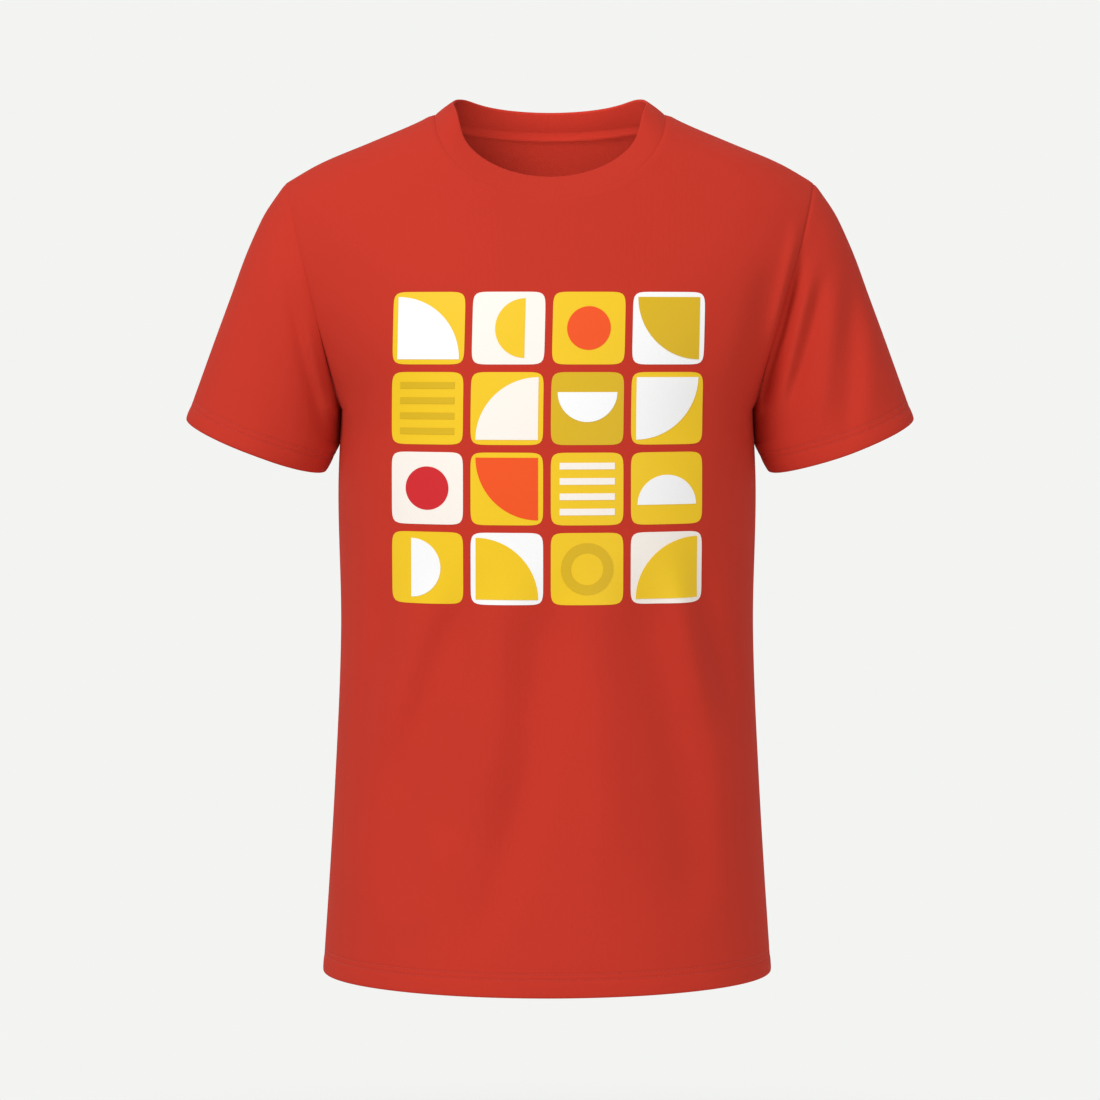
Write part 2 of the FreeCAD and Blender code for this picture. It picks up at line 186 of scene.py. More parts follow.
OUT_SHARES, DOWN_SHARES, INNER_SHARES, DEPTH_SHARES, TURN_SHARES = np.array([
    (0, 0.12, 0.24, 0.33, 0.43, 0.6, 0.78, 1),
    (0, 0.07, 0.15, 0.23, 0.33, 0.53, 0.74, 1),
    (0, 0.12, 0.25, 0.35, 0.45, 0.62, 0.79, 1),
    (0, 0.25, 0.5, 0.65, 0.8, 0.9, 1, 1),
    (0, 0.05, 0.1, 0.18, 0.25, 0.45, 0.7, 1),
])
# The way along the sleeve is 0 at the armhole, 1 at the top of the hem and SLEEVE_END at its edge.
SLEEVE_END = 1.17
stations = np.append((DOWN_SHARES + INNER_SHARES) / 2, SLEEVE_END)
outer_x = np.append(SHOULDER_POINT[0] + to_outer[0] * OUT_SHARES, hem_outer[0])
outer_z = np.append(SHOULDER_POINT[1] + to_outer[1] * DOWN_SHARES, hem_outer[1])
# Under the arm the cloth lies against the body before it flares to the hem.
inner_x = np.append(np.interp(INNER_SHARES, [0, 0.35, 0.7, 1], [168, 168.6, 169.2, 171.4]), 181.4) * MM
inner_z = np.append(UNDERARM_POINT[1] + to_inner[1] * INNER_SHARES, hem_inner[1])
station_depths = ARMHOLE_HALF_DEPTH + SLEEVE_GAIN * np.append(DEPTH_SHARES, 1)
station_turns = SLEEVE_TURN * np.append(TURN_SHARES, 1)


def left_sleeve(turn, way):
    """A point of the wearer's left sleeve: the station's middle, plus the cosine of the turn times half its
    long axis, plus the sine times half its short one. The turn is 0 on top and half a turn underneath."""
    ox, oz, ix, iz, depth, tilt = (fair(way, stations, values) for values in (
        outer_x, outer_z, inner_x, inner_z, station_depths, station_turns))
    half_x, half_z = (ox - ix) / 2, (oz - iz) / 2
    lift = depth * np.sin(tilt) / np.hypot(half_x, half_z)
    return together((ox + ix) / 2 + half_x * np.cos(turn) - half_z * lift * np.sin(turn),
                    depth * np.cos(tilt) * np.sin(turn),
                    (oz + iz) / 2 + half_z * np.cos(turn) + half_x * lift * np.sin(turn))


def right_sleeve(turn, way):
    """The left sleeve's mirror image, with the turn reversed so that its outside stays outside."""
    return left_sleeve(-np.asarray(turn), way) * [-1, 1, 1]

# %% [markdown]
# ## Folds
#
# Cloth that hangs from the shoulders falls in long soft folds, and gathers in sharper ones at the underarm.
# A cloth simulation would make its own folds in its own places, so these are laid where this shirt
# has them: each is a bell-shaped ridge or hollow along a short line, faded at its ends. They push the cloth
# forward or back by where a point is and not by the piece it belongs to, so a fold crosses a seam without
# tearing it.

# %% The places of the folds
# Each fold: from x and drop, to x and drop, width and height, in millimetres. A hollow's height is negative.
FRONT_FOLDS = [
    # The wearer's left: a ridge along the armhole, the valley beside it, and fans of folds down the sleeve.
    (197, 108, 180, 194, 6, 4.6), (197, 140, 174, 248, 4.8, -8.8), (208.5, 146, 186.5, 244, 5, 3.2),
    (217.5, 152, 198, 238, 5.5, -4.2), (232, 152, 216, 262, 7.5, 2.2), (244, 144, 239, 266, 10, -4.4),
    (262, 176, 256, 258, 11, 2.2), (176, 140, 157, 250, 13, -4.6), (150, 190, 138, 290, 16, 2.2),
    # The wearer's right: a soft ridge by the armhole's seam, then the hollow towards the underarm.
    (-206, 140, -188, 220, 6, 1.2), (-207, 158, -181, 262, 6, -3), (-194, 186, -176, 262, 5, 2),
    (-236, 178, -212, 292, 13, -1.6), (-170, 214, -158, 262, 6, 1.6),
    # Long folds down the trunk.
    (-64, 395, -111, 530, 16, -6), (-111, 530, -124, 640, 17, -4.5), (-94, 400, -134, 520, 13, 3.6),
    (-2, 400, -12, 530, 18, -6.5), (-12, 530, -52, 665, 17, -6), (-40, 410, -50, 560, 16, 4),
    (74, 395, 106, 535, 20, -7.5), (106, 535, 116, 640, 20, -4.5), (36, 410, 50, 600, 20, 4),
    (120, 368, 148, 490, 13, -7.5), (104, 390, 128, 490, 12, 4), (134, 500, 146, 640, 15, 2.6),
    (-126, 390, -150, 500, 9, -3.4), (-80, 590, -104, 660, 14, 3), (-125, 320, -140, 420, 9, -1.6),
]
BACK_FOLDS = [
    (186, 130, 165, 240, 8, -4.5), (-186, 130, -165, 240, 8, -4), (200, 150, 178, 250, 9, 3.2),
    (-200, 150, -178, 250, 9, 3), (120, 150, 92, 300, 18, 3.6), (-115, 160, -95, 300, 18, 3.6),
    (60, 260, 48, 470, 20, -4.2), (-70, 280, -52, 500, 20, -4.6), (0, 380, 8, 610, 22, 4),
    (110, 400, 128, 620, 15, -4.4), (-112, 420, -130, 640, 15, -4.2), (232, 160, 218, 262, 11, -3),
    (-232, 160, -218, 262, 11, -3), (24, 470, 44, 660, 16, 3.4), (-30, 500, -62, 670, 16, -4),
]

# %% How far the folds reach
# The folds have their full height from this far off the plane of the sides.
SIDE_FADE = 40 * MM
# The trunk hangs this much to the wearer's right: not at all at the first drop, and in full from the second.
# Towards the sleeves that fades again, from the first half width to the second.
TRUNK_LEAN, LEAN_DROPS, LEAN_HALF_WIDTHS = 2.4 * MM, (120 * MM, 270 * MM), (195 * MM, 240 * MM)
# The drops at which the half width changes its slope at once, by how much, and how far to spread the change.
SLOPE_CHANGES = [(SHOULDER_DROP, -0.9, 24 * MM), (UNDERARM_DROP, 0.66, 26 * MM)]
# The spread fades towards the plane of the sides, and beyond the armhole.
SPREAD_SIDE_FADE, SPREAD_SLEEVE_FADE = 34 * MM, 9 * MM

# %% The cloth moved by its folds


def height_of(folds, x, drop):
    """The sum of the folds at a place: each one's height, times a bell across its line, times a fade that is
    1 along its middle and 0 a quarter of its length beyond each end."""
    total = np.zeros(np.broadcast(x, drop).shape)
    for x0, drop0, x1, drop1, width, height in np.array(folds) * MM:
        run_x, run_drop = x1 - x0, drop1 - drop0
        length = math.hypot(run_x, run_drop)
        along = ((x - x0) * run_x + (drop - drop0) * run_drop) / length ** 2
        across = ((x - x0) * run_drop - (drop - drop0) * run_x) / length
        total += height * bell(across, width) * ease((0.75 - np.abs(along - 0.5)) * 2)
    return total


def crumple(points):
    """The form's points moved by the folds: forward in front, backward behind, and not at the sides."""
    x, y, drop = points[..., 0], points[..., 1], -points[..., 2]
    moved = points.copy()
    moved[..., 1] -= ease(-y / SIDE_FADE) * height_of(FRONT_FOLDS, x, drop)
    moved[..., 1] += ease(y / SIDE_FADE) * height_of(BACK_FOLDS, x, drop)
    moved[..., 1] += np.sign(y) * softened(x, y, drop)
    moved[..., 0] -= TRUNK_LEAN * ramp(drop, *LEAN_DROPS) * (1 - ramp(np.abs(x), *LEAN_HALF_WIDTHS))
    return moved


def softened(x, y, drop):
    """How far outwards the cloth moves so that it passes a change of slope in a curve: the slope gained,
    times how fast the surface moves with the half width, times a parabola that ends at the reach."""
    share = np.clip(np.abs(x) / half_width(drop), 0, 0.95)
    gain = half_depth(drop) / half_width(drop) * share ** 2 / np.sqrt(1 - share ** 2)
    beyond = np.maximum(np.abs(x) - armhole_out(drop), 0)
    gain = gain * ease(np.abs(y) / SPREAD_SIDE_FADE) * bell(beyond, SPREAD_SLEEVE_FADE)
    return sum(gain * change * np.maximum(reach - np.abs(drop - level), 0) ** 2 / (4 * reach)
               for level, change, reach in SLOPE_CHANGES)

# %% [markdown]
# ## Seams and layers
#
# A seam is where two edges are sewn and their allowances folded to one side: the cloth dips into the line
# and rises over the folded allowance. Every layer of the shirt follows the same dressed surface at its own
# depth, so one function that gives a point at a depth serves all the pieces.

# %% Seams as relief
SEAM_DIP, SEAM_DIP_WIDTH = 0.85 * MM, 1.2 * MM
SEAM_RISE, SEAM_RISE_WIDTH, ALLOWANCE = 0.16 * MM, 2.4 * MM, 4.5 * MM
# The armhole's seam fades out from this far above the underarm. On the wearer's right it has a share of its
# depth down to the first of two drops, and all of it from the second.
UNDERARM_FADE, RIGHT_SEAM_SHARE, RIGHT_SEAM_DROPS = 30 * MM, 0.2, (175 * MM, 220 * MM)
NECK_HALF_WIDTH, NECK_SIDE_DROP, NECK_FRONT_DEPTH, NECK_BACK_DEPTH = 94 * MM, 10 * MM, 71 * MM, 9.6 * MM
# Rows of stitches, as heights above the hem's edge, and how far a radian of turn reaches along each hem.
BODY_ROWS, SLEEVE_ROWS = (14.5 * MM, 19 * MM), (13 * MM, 17.5 * MM)
BODY_HEM_RADIUS, SLEEVE_HEM_RADIUS, SLEEVE_SEAM_FADE = 160 * MM, 60 * MM, 12 * MM
ROW_DIP, ROW_DIP_WIDTH, HEM_PUFF, STITCH_PITCH = 0.35 * MM, 0.9 * MM, 0.35 * MM, 3.3 * MM
armhole_run = SHOULDER_POINT - UNDERARM_POINT
ARMHOLE_COSINE = armhole_run[1] / math.hypot(*armhole_run)
ridge_drops = np.linspace(0, SHOULDER_DROP, 400)
RIDGE_AT_NECK = float(np.interp(NECK_HALF_WIDTH, half_width(ridge_drops), ridge_drops))
BACK_RADIUS = (NECK_HALF_WIDTH ** 2 + NECK_BACK_DEPTH ** 2) / (2 * NECK_BACK_DEPTH)


def back_neck_drop(x, below=0.0):
    """The drop of the back neckline, an arc of a circle, or of the arc a distance below it."""
    return RIDGE_AT_NECK + np.sqrt((BACK_RADIUS + below) ** 2 - x ** 2) - (BACK_RADIUS - NECK_BACK_DEPTH)


def armhole_distance(x, drop):
    """How far a point is from the armhole's plane, or from its end below or above it."""
    from_plane = (np.abs(x) - armhole_out(np.clip(drop, SHOULDER_DROP, UNDERARM_DROP))) * ARMHOLE_COSINE
    beyond = np.maximum(drop - UNDERARM_DROP, 0) + np.maximum(SHOULDER_DROP - drop, 0)
    return np.hypot(from_plane, beyond)


def armhole_dip(x, drop):
    """How deep the armhole's seam is drawn in. It fades out at the underarm, where body and sleeve face each
    other, and over the wearer's right shoulder, where the cloth is pulled flat."""
    slack = np.where(x > 0, 1, RIGHT_SEAM_SHARE + (1 - RIGHT_SEAM_SHARE) * ramp(drop, *RIGHT_SEAM_DROPS))
    fade = ease((UNDERARM_DROP - drop) / UNDERARM_FADE)
    return SEAM_DIP * bell(armhole_distance(x, drop), SEAM_DIP_WIDTH) * slack * fade

# %% The relief of the body, the sleeves and the hems


def body_relief(turn, points):
    """How much deeper the body's cloth lies than its form: dips along seams, less the allowances' rise."""
    x, y, drop = points[..., 0], points[..., 1], -points[..., 2]
    dip = SEAM_DIP * bell(y, SEAM_DIP_WIDTH) + armhole_dip(x, drop)
    swell = SEAM_RISE * bell(y - ALLOWANCE, SEAM_RISE_WIDTH)
    round_neck = np.hypot(x / NECK_HALF_WIDTH, np.maximum(drop - NECK_SIDE_DROP, 0) / NECK_FRONT_DEPTH) - 1
    front = np.where(y < 0, round_neck * NECK_FRONT_DEPTH, 1)
    back = np.where(y > 0, drop - back_neck_drop(np.clip(x, -NECK_HALF_WIDTH, NECK_HALF_WIDTH)), 1)
    neck = np.minimum(front, back)
    dip += SEAM_DIP * bell(neck, SEAM_DIP_WIDTH)
    swell += SEAM_RISE * bell(neck - ALLOWANCE, SEAM_RISE_WIDTH)
    return dip - swell + hem_relief(BODY_LENGTH - drop, BODY_ROWS, turn * BODY_HEM_RADIUS)


def sleeve_relief(turn, points):
    """The same for a sleeve: its seam runs underneath, and the armhole's allowance is folded into it."""
    x, y, drop = points[..., 0], points[..., 1], -points[..., 2]
    underneath = (np.cos(turn) < 0) * ease((drop - UNDERARM_DROP) / SLEEVE_SEAM_FADE)
    dip = armhole_dip(x, drop) + SEAM_DIP * bell(y, SEAM_DIP_WIDTH) * underneath
    swell = SEAM_RISE * bell(armhole_distance(x, drop) - ALLOWANCE, SEAM_RISE_WIDTH)
    return dip - swell * (np.abs(x) > armhole_out(drop))


def hem_relief(above, rows, along):
    """The hem's own relief: a dip along each row of stitches, deeper here and there, and a slight puff
    between the edge and the rows, where the cloth is double."""
    pull = 1 + 0.35 * np.cos(along * (2 * math.pi / (3.5 * STITCH_PITCH)))
    dip = sum(ROW_DIP * bell(above - row, ROW_DIP_WIDTH) * pull for row in rows)
    return dip - HEM_PUFF * ease(above / (4 * MM)) * ease((rows[0] - above) / (6 * MM))

# %% Cloth on its form
STEP = 0.4 * MM


def outwards(surface, u, v):
    """Unit normals of a surface: the step down it crossed with the step across it."""
    across = surface(u + STEP, v) - surface(u - STEP, v)
    down = surface(u, v + STEP) - surface(u, v - STEP)
    return unit(np.cross(down, across))


def laid(form, relief, u, v, depth=0.0):
    """Points of a layer: the form's points moved by the folds, then inwards by the layer's depth and by the
    relief of the seams."""
    u, v = np.broadcast_arrays(np.asarray(u, float), np.asarray(v, float))
    dressed = lambda a, b: crumple(form(a, b))
    inwards = np.asarray(depth + relief(u, form(u, v)))[..., None]
    return dressed(u, v) - outwards(dressed, u, v) * inwards

# %% [markdown]
# ## From grids to meshes
#
# Every piece is one or more grids of points. The squares of a grid become faces, points that fall together
# become one, so that closed seams close and poles end in triangles, and a second layer of points gives the
# cloth its other side, joined to the first along every open edge. The Solidify modifier would do the same,
# but it doesn't know where the next layer lies.

# %% Building a mesh
JOIN = 1e-6
SHARP = math.radians(48)


def squares(grids):
    """The corner numbers of every square in a stack of grids, in the order down, across."""
    count, rows, columns = grids.shape[:3]
    number = np.arange(count * rows * columns).reshape(count, rows, columns)
    corners = (number[:, :-1, :-1], number[:, 1:, :-1], number[:, 1:, 1:], number[:, :-1, 1:])
    return np.stack(corners, -1).reshape(-1, 4)


def without_repeats(faces, loops):
    """Squares with two corners in one place as triangles, and the loops of their corners."""
    repeated = faces == np.roll(faces, -1, axis=1)
    whole, single = ~repeated.any(1), repeated.sum(1) == 1
    keep = ~repeated[single]
    return (numbers[whole].tolist() + numbers[single][keep].reshape(-1, 3).tolist()
            for numbers in (faces, loops))


def add_piece(name, patches):
    """A mesh object from patches. A patch is (outer points, inner points or None, places on the flat cloth in
    metres), each of them a grid or a stack of grids."""
    outer, inner, flat, faces, count = [], [], [], [], 0
    for top, under, uv in patches:
        top = np.asarray(top).reshape((-1,) + top.shape[-3:])
        faces.append(squares(top) + count)
        outer.append(top.reshape(-1, 3))
        inner.append(None if under is None else np.asarray(under).reshape(-1, 3))
        flat.append(np.broadcast_to(uv, top.shape[:-1] + (2,)).reshape(-1, 2))
        count += len(outer[-1])
    outer, flat, loops = np.concatenate(outer), np.concatenate(flat), np.concatenate(faces)
    _, kept, joined = np.unique(np.round(outer / JOIN).astype(np.int64), axis=0,
                                return_index=True, return_inverse=True)
    points, uv, corners = outer[kept], flat[kept], joined.reshape(-1)[loops]
    # A square's area is half the length of the cross product of its diagonals.
    a, b, c, d = points[corners].swapaxes(0, 1)
    area = np.linalg.norm(np.cross(c - a, d - b), axis=-1).sum() / 2
    faces, loops = without_repeats(corners, loops)
    uvs = [flat[corner] for face in loops for corner in face]
    if inner[0] is not None:
        shift = len(points)
        edges = np.array([(a, b) for face in faces for a, b in zip(face, face[1:] + face[:1])])
        key, back = edges[:, 0] * shift + edges[:, 1], edges[:, 1] * shift + edges[:, 0]
        rim = edges[~np.isin(key, back)]
        walls = np.stack([rim[:, 1], rim[:, 0], rim[:, 0] + shift, rim[:, 1] + shift], 1).tolist()
        underside = [[corner + shift for corner in reversed(face)] for face in faces]
        points = np.concatenate([points, np.concatenate(inner)[kept]])
        uvs += [flat[corner] for face in loops for corner in reversed(face)]
        uvs += [uv[corner % shift] for wall in walls for corner in wall]
        faces = faces + underside + walls
    mesh = bpy.data.meshes.new(name)
    mesh.from_pydata(points.tolist(), [], faces)
    layer = mesh.uv_layers.new(name="cloth")
    layer.data.foreach_set("uv", np.array(uvs, np.float32).ravel())
    mesh.shade_smooth()
    mesh.set_sharp_from_angle(angle=SHARP)
    piece = bpy.data.objects.new(name, mesh)
    bpy.context.scene.collection.objects.link(piece)
    triangles = sum(len(face) - 2 for face in faces)
    print(f"{name}: {triangles} triangles, {area * 1e4:.0f} cm2")
    return piece

# %% [markdown]
# ## The front and back panels
#
# The real panels are cut flat and curve only because they are sewn together. Each is worked out as two
# halves that meet at the middle: every row of points starts on the neckline, or at the middle below it, and
# ends on the ridge, in the armhole or at the side seam. The bottom rows go round the fold of the hem and up
# inside it, as the real cloth does.

# %% Rows down to a hem
FABRIC = 1.0 * MM
FOLD_RADIUS = 1.3 * MM
ARMHOLE_STEPS, RIDGE_STEPS, HALF_COLUMNS = 84, 22, 76
ROW_PITCH, HEM_PITCH, LEAST_PITCH = 3.2 * MM, 1.1 * MM, 0.1 * MM
BODY_HEM_REACH, SLEEVE_HEM_REACH = 28 * MM, 24 * MM
# On the flat cloth the fold of a hem takes this many times its depth.
FOLD_STRETCH = 8


def rows_to_hem(upper, end, per_metre, reach):
    """The rows of a piece of cloth as columns: the way down and the depth of its face, then of its back. The
    upper rows are given. The hem's rows go from a reach above its edge down, round the fold and up inside."""
    down = np.arange(reach, FOLD_RADIUS + HEM_PITCH / 2, -HEM_PITCH)
    bend = np.linspace(0, math.pi, 9)
    up = np.arange(FOLD_RADIUS + HEM_PITCH, HEM_HEIGHT + HEM_PITCH / 2, HEM_PITCH)
    columns = []
    for radius in (FOLD_RADIUS, FOLD_RADIUS - FABRIC):
        height = np.concatenate([down, FOLD_RADIUS - radius * np.sin(bend), up])
        side = np.concatenate([0 * upper + 1, 0 * down + 1, np.cos(bend), 0 * up - 1])
        columns += [np.append(upper, end - height * per_metre), FOLD_RADIUS - radius * side]
    return (column[:, None] for column in columns)


def upper_drops(neck_drops):
    """The drops of a panel's upper rows: those of its neckline, of the ridge, the armhole and the trunk."""
    around = np.linspace(0, math.pi, ARMHOLE_STEPS + 1)
    armhole = SHOULDER_DROP + (UNDERARM_DROP - SHOULDER_DROP) * (1 - np.cos(around)) / 2
    ridge = np.linspace(RIDGE_AT_NECK, SHOULDER_DROP, RIDGE_STEPS)
    trunk = np.arange(UNDERARM_DROP, BODY_LENGTH - BODY_HEM_REACH - 2 * MM, ROW_PITCH)
    corners = np.array([neck_drops.max(), SHOULDER_DROP, UNDERARM_DROP])
    others = np.unique(np.concatenate([neck_drops, ridge, armhole, trunk]))
    others = others[np.append(True, np.diff(others) > LEAST_PITCH)]
    clear = np.abs(others[:, None] - corners).min(1) > LEAST_PITCH
    return np.sort(np.append(others[clear], corners))

# %% Panels between the neckline, the armholes and the sides


def outer_turn(drop):
    """The turn at which a row of a panel ends: a quarter turn, or where the armhole cuts it."""
    beside = (drop > SHOULDER_DROP) & (drop < UNDERARM_DROP)
    return np.where(beside, turn_at(armhole_out(drop), drop), math.pi / 2)


def front_neck_turn(drop):
    """The turn at which a row of the front starts: on the neckline, half an ellipse with upright ends."""
    level = np.clip((drop - NECK_SIDE_DROP) / NECK_FRONT_DEPTH, 0, 1)
    return turn_at(NECK_HALF_WIDTH * np.sqrt(1 - level ** 2), drop)


def back_neck_turn(drop):
    """The turn at which a row of the back starts: on the arc of the back neckline."""
    level = np.clip(drop - RIDGE_AT_NECK + BACK_RADIUS - NECK_BACK_DEPTH, 0, BACK_RADIUS)
    return turn_at(np.sqrt(BACK_RADIUS ** 2 - level ** 2), drop)


def flat_across(turn, drop):
    """The distance round the body from the front's middle: nearly the mean radius times the turn."""
    wide, deep = half_width(drop), half_depth(drop)
    return (wide + deep) / 2 * turn + (wide - deep) / 4 * np.sin(2 * turn)


def panel(name, neck_drops, neck_turn, middle):
    """A panel as two halves about its middle, which is at a turn of 0 in front and half a turn behind."""
    upper = upper_drops(neck_drops)
    drops, depths, back_drops, back_depths = rows_to_hem(upper, BODY_LENGTH, 1, BODY_HEM_REACH)
    # The columns lie closer together towards the armhole and the side.
    share = 1 - (1 - np.linspace(0, 1, HALF_COLUMNS)) ** 1.5
    start = neck_turn(drops)
    turns = start + (outer_turn(drops) - start) * share
    patches = []
    for turn in (middle + turns, middle - turns[:, ::-1]):
        flat = together(flat_across(turn, drops), drops * 2 - back_drops + depths * FOLD_STRETCH)
        patches.append((laid(body, body_relief, turn, drops, depths),
                        laid(body, body_relief, turn, back_drops, back_depths), flat))
    return add_piece(name, patches)


quarter = np.linspace(0, math.pi / 2, 34)
cloth_front = panel("cloth_front", NECK_SIDE_DROP + NECK_FRONT_DEPTH * np.cos(quarter), front_neck_turn, 0)
cloth_back = panel("cloth_back", back_neck_drop(NECK_HALF_WIDTH * np.sin(quarter)), back_neck_turn, math.pi)

# %% [markdown]
# ## The sleeves' cloth
#
# A sleeve is one grid round the arm and along it. Its columns stand where the armhole's rows end on the
# panels, so the two edges follow each other closely, and its last rows turn up inside as the body's do.

# %% Two sleeves
WAY_PER_METRE = (SLEEVE_END - 1) / HEM_HEIGHT
SLEEVE_RADIUS, SLEEVE_LENGTH, SLEEVE_STEPS = 62 * MM, 120 * MM, 62


def sleeve(name, form):
    """A sleeve's cloth, with rows that lie closer together towards the armhole."""
    upper = (SLEEVE_END - SLEEVE_HEM_REACH * WAY_PER_METRE) * np.linspace(0, 1, SLEEVE_STEPS)[:-1] ** 1.35
    ways, depths, back_ways, back_depths = rows_to_hem(upper, SLEEVE_END, WAY_PER_METRE, SLEEVE_HEM_REACH)
    turns = np.linspace(-math.pi, math.pi, 2 * ARMHOLE_STEPS + 1)[None, :]

    def lay(way, depth):
        hem = hem_relief((SLEEVE_END - way) / WAY_PER_METRE, SLEEVE_ROWS, turns * SLEEVE_HEM_RADIUS)
        return laid(form, sleeve_relief, turns, way, depth + hem)

    flat = together(turns * SLEEVE_RADIUS, ways * SLEEVE_LENGTH + depths * FOLD_STRETCH)
    return add_piece(name, [(lay(ways, depths), lay(back_ways, back_depths), flat)])


cloth_left = sleeve("cloth_left_sleeve", left_sleeve)
cloth_right = sleeve("cloth_right_sleeve", right_sleeve)

# %% [markdown]
# ## The neck rib
#
# The collar is a doubled band of ribbed knit, cut shorter than the neckline and stretched on to it, so it
# stands up and leans inwards, most behind and least in front. It is a profile, a flat band with a round
# folded edge, carried along the neckline.

# %% The neckline as a path
RIB_HEIGHT, RIB_THICKNESS, RIB_PUFF, RIB_INSET, FLUTE_FADE = 23 * MM, 2 * MM, 0.45 * MM, 0.2 * MM, 3 * MM
LEAN_FRONT, LEAN_SIDE, LEAN_BACK = math.radians(40), math.radians(50), math.radians(52)
RIB_PITCH, RIB_FLUTE, RIB_STEPS = 2.2 * MM, 0.05 * MM, 16
# How many times each point of the neckline moves to the mean of itself and its neighbours.
SMOOTHINGS = 150


def neckline():
    """The neckline as turns and drops on the body, closed, from the front's middle by the wearer's left."""
    ahead = np.linspace(0, math.pi / 2, 90)
    x = NECK_HALF_WIDTH * np.sin(ahead)
    front_drop = NECK_SIDE_DROP + NECK_FRONT_DEPTH * np.cos(ahead)
    side_drop = np.linspace(NECK_SIDE_DROP, RIDGE_AT_NECK, 12)[1:-1]
    back_drop = back_neck_drop(x[::-1])
    turn = np.concatenate([turn_at(x, front_drop), turn_at(NECK_HALF_WIDTH, side_drop),
                           math.pi - turn_at(x[::-1], back_drop)])
    drop = np.concatenate([front_drop, side_drop, back_drop])
    return np.append(turn, 2 * math.pi - turn[-2:0:-1]), np.append(drop, drop[-2:0:-1])


def evenly(loop, spacing):
    """A closed line's points at even distances along it, and the distances."""
    closed = np.concatenate([loop, loop[:1]])
    run = distances(closed)
    count = int(round(run[-1] / spacing))
    at = np.linspace(0, run[-1], count, endpoint=False)
    return together(*(np.interp(at, run, values) for values in closed.T)), at


neck_turns, neck_drops = neckline()
neck_loop, neck_run = evenly(laid(body, body_relief, neck_turns, neck_drops, RIB_INSET), RIB_PITCH / 4)
for _ in range(SMOOTHINGS):
    neck_loop = (np.roll(neck_loop, 1, axis=0) + 2 * neck_loop + np.roll(neck_loop, -1, axis=0)) / 4
print(f"the neckline is {neck_run[-1] * 1000:.0f} mm long")

# %% The rib's band
# Where the band gives way and where it stands taller: each place's y, and how far that spreads.
BESIDE, BEHIND = (-14 * MM, 24 * MM), (34 * MM, 16 * MM)


def rib_frame(loop):
    """Directions at each point of the neckline: up the band, and through it to its inner side."""
    along = unit(np.roll(loop, -1, axis=0) - np.roll(loop, 1, axis=0))
    inwards = unit(together(-along[:, 1], along[:, 0], 0))
    facing = inwards[:, 1]
    end = np.where(facing > 0, LEAN_FRONT, LEAN_BACK)
    lean = LEAN_SIDE + (end - LEAN_SIDE) * facing ** 2
    up = inwards * np.sin(lean)[:, None] + np.array([0, 0, 1.0]) * np.cos(lean)[:, None]
    # Beside the shoulder the band gives way outwards and down, and behind it it stands a little taller.
    beside, behind = (bell(loop[:, 1] - y, spread) for y, spread in (BESIDE, BEHIND))
    up += together(0.12 * beside * np.sign(loop[:, 0]), 0, 0.06 * behind - 0.155 * beside)
    through = np.cross(up, along)
    through *= np.sign((through * inwards).sum(1, keepdims=True))
    return up, unit(through)


def rib_section():
    """The band's section, closed: up its outer face, round the fold, down its inner face and across the foot.
    Two arrays: the height, and the depth through the band. Both faces bulge a little at half height."""
    radius = RIB_THICKNESS / 2
    straight = RIB_HEIGHT - radius
    face = np.linspace(0, straight, RIB_STEPS)
    bend = np.linspace(0, math.pi, 9)[1:-1]
    puff = RIB_PUFF * np.sin(math.pi * face / straight) ** 0.8
    height = np.concatenate([face, straight + np.sin(bend) * radius, face[::-1], [0]])
    depth = np.concatenate([-puff, radius * (1 - np.cos(bend)), RIB_THICKNESS + puff[::-1] * 0.6, [0]])
    return height, depth


rib_up, rib_through = rib_frame(neck_loop)
section_height, section_depth = rib_section()
# The flutes make the band thicker and thinner by turns, and fade at its foot.
flute = RIB_FLUTE * np.sin(neck_run * (2 * math.pi / RIB_PITCH))
swing = np.where(section_depth <= RIB_THICKNESS / 2, -1, 1) * np.clip(section_height / FLUTE_FADE, 0, 1)
depth = section_depth[:, None] + swing[:, None] * flute
rib_points = neck_loop + rib_up * section_height[:, None, None] + rib_through * depth[..., None]
rib_points = np.concatenate([rib_points, rib_points[:, :1]], 1)
section_run = distances(together(section_height, section_depth))
rib_flat = together(np.append(neck_run, neck_run[-1] + RIB_PITCH / 4)[None, :], section_run[:, None])
collar = add_piece("collar_rib", [(rib_points[::-1], None, rib_flat[::-1])])

# %% [markdown]
# ## Tape and overlocked seams
#
# Inside the back neck a tape covers the collar seam, and it shows through the opening. The other seams end
# in an overlocked edge: three threads wound over both edges. Each is a strip on the cloth's inner side.

# %% Strips inside
LAYER_GAP = 0.15 * MM
TAPE_WIDTH, TAPE_TOP, TAPE_THICKNESS, TAPE_LIFT, TAPE_INSET = 8 * MM, 0.4 * MM, 1.2 * MM, 1.4 * MM, 1 * MM
SEAM_WIDTH, SEAM_THICKNESS, SEAM_PITCH = 7 * MM, 1.5 * MM, 1.1 * MM
THREAD_PITCH, STRIP_EDGE, ARMHOLE_RADIUS = 1.7 * MM, 1.2 * MM, 65 * MM
SEAM_END_GAP, ARMHOLE_SEAM_GAP = 2 * MM, 0.6 * MM


